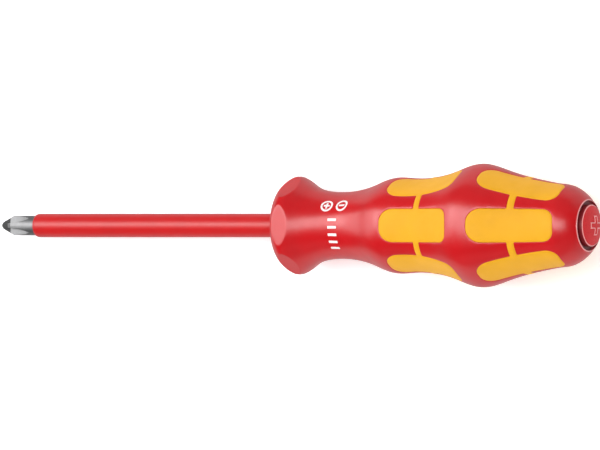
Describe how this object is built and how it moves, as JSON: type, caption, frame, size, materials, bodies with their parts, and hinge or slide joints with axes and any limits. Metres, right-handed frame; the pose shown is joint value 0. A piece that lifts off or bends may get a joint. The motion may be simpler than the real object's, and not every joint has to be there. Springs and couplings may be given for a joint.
{
  "type": "insulated screwdriver",
  "caption": "Insulated cross-recess screwdriver with a red ridged handle, soft yellow grip pads, a slip guard at the neck and a fully sleeved blade with a bare dark tip.",
  "frame": {"origin": "centre of the handle's flat nose face, on the tool axis", "axes": "+X along the tool axis from the point towards the butt, +Z out of the middle of one grip face, +Y out of a ridge"},
  "size_m": [0.2052, 0.0372, 0.036],
  "materials": {
    "blade_steel": "satin nickel grey with a dark roughened point",
    "insulation_red": "semi-gloss",
    "core_plastic": "plain moulded",
    "shell_red": "semi-gloss",
    "front_pad_yellow": "soft matte",
    "rear_pad_yellow": "soft matte",
    "cap_red": "finely textured",
    "print_white": "printed ink"
  },
  "bodies": {
    "root": {"blade": "blade_steel", "blade_insulation": "insulation_red", "handle_core": "core_plastic", "handle_shell": "shell_red", "front_grip_pads": "front_pad_yellow", "rear_grip_pads": "rear_pad_yellow", "end_cap": "cap_red", "neck_print": "print_white"}
  },
  "joints": []
}
